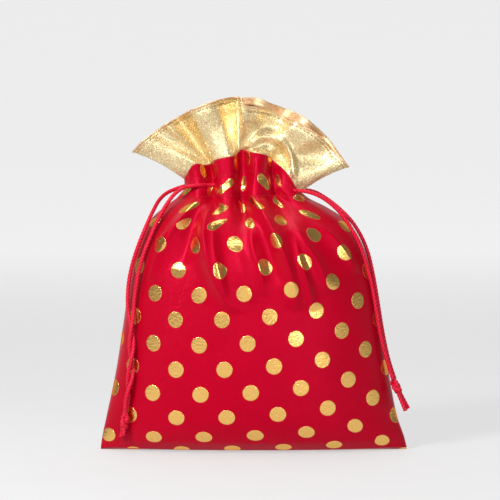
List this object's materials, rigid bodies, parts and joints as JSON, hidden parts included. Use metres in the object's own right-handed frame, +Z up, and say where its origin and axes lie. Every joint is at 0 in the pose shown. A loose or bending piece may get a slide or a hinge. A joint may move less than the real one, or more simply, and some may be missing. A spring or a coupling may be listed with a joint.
{
  "type": "drawstring gift pouch",
  "caption": "Fabric gift pouch with a gathered neck, a flared frill above it and two drawstrings that leave at opposite sides and end in knots.",
  "frame": {"origin": "centre of the bounding box of the pouch without its hanging cords, on the surface it stands on", "axes": "+Z up to the rim of the frill, +X to the right seen from the front, front panel faces -Y"},
  "size_m": [0.1813, 0.064, 0.206],
  "materials": {
    "red_satin": "satin",
    "satin_reverse": "matte",
    "gold_lame": "metallic",
    "lame_reverse": "metallic",
    "red_cord": "satin",
    "red_thread": "matte",
    "gold_thread": "matte"
  },
  "bodies": {
    "pouch": {"front_panel": "red_satin", "back_panel": "red_satin", "left_seam_allowance": "satin_reverse", "right_seam_allowance": "satin_reverse", "bottom_seam_allowance": "satin_reverse", "left_seam_stitching": "red_thread", "right_seam_stitching": "red_thread", "bottom_seam_stitching": "red_thread", "front_casing_tape": "satin_reverse", "back_casing_tape": "satin_reverse", "lower_casing_stitching": "red_thread", "upper_casing_stitching": "red_thread"},
    "frill": {"front_frill": "gold_lame", "back_frill": "gold_lame", "front_frill_hem": "lame_reverse", "back_frill_hem": "lame_reverse", "front_hem_stitching": "gold_thread", "back_hem_stitching": "gold_thread"},
    "left_pull": {"left_drawstring": "red_cord"},
    "left_ends": {"left_front_end": "red_cord", "left_back_end": "red_cord", "left_knot": "red_cord", "left_first_tail": "red_cord", "left_second_tail": "red_cord"},
    "right_pull": {"right_drawstring": "red_cord"},
    "right_ends": {"right_front_end": "red_cord", "right_back_end": "red_cord", "right_knot": "red_cord", "right_first_tail": "red_cord", "right_second_tail": "red_cord"}
  },
  "joints": [
    {"name": "frill_lean", "type": "hinge", "parent": "pouch", "child": "frill", "pos_m": [-0.0075, 0, 0.16], "axis": [-1, 0, 0], "range_deg": [-25, 25]},
    {"name": "left_draw", "type": "slide", "parent": "pouch", "child": "left_pull", "axis": [-1, 0, 0], "range_m": [0, 0.005]},
    {"name": "left_swing", "type": "hinge", "parent": "left_pull", "child": "left_ends", "pos_m": [-0.04, 0, 0.1542], "axis": [0, 1, 0], "range_deg": [0, 50]},
    {"name": "right_draw", "type": "slide", "parent": "pouch", "child": "right_pull", "axis": [1, 0, 0], "range_m": [0, 0.005]},
    {"name": "right_swing", "type": "hinge", "parent": "right_pull", "child": "right_ends", "pos_m": [0.025, 0, 0.1519], "axis": [0, -1, 0], "range_deg": [0, 50]}
  ]
}
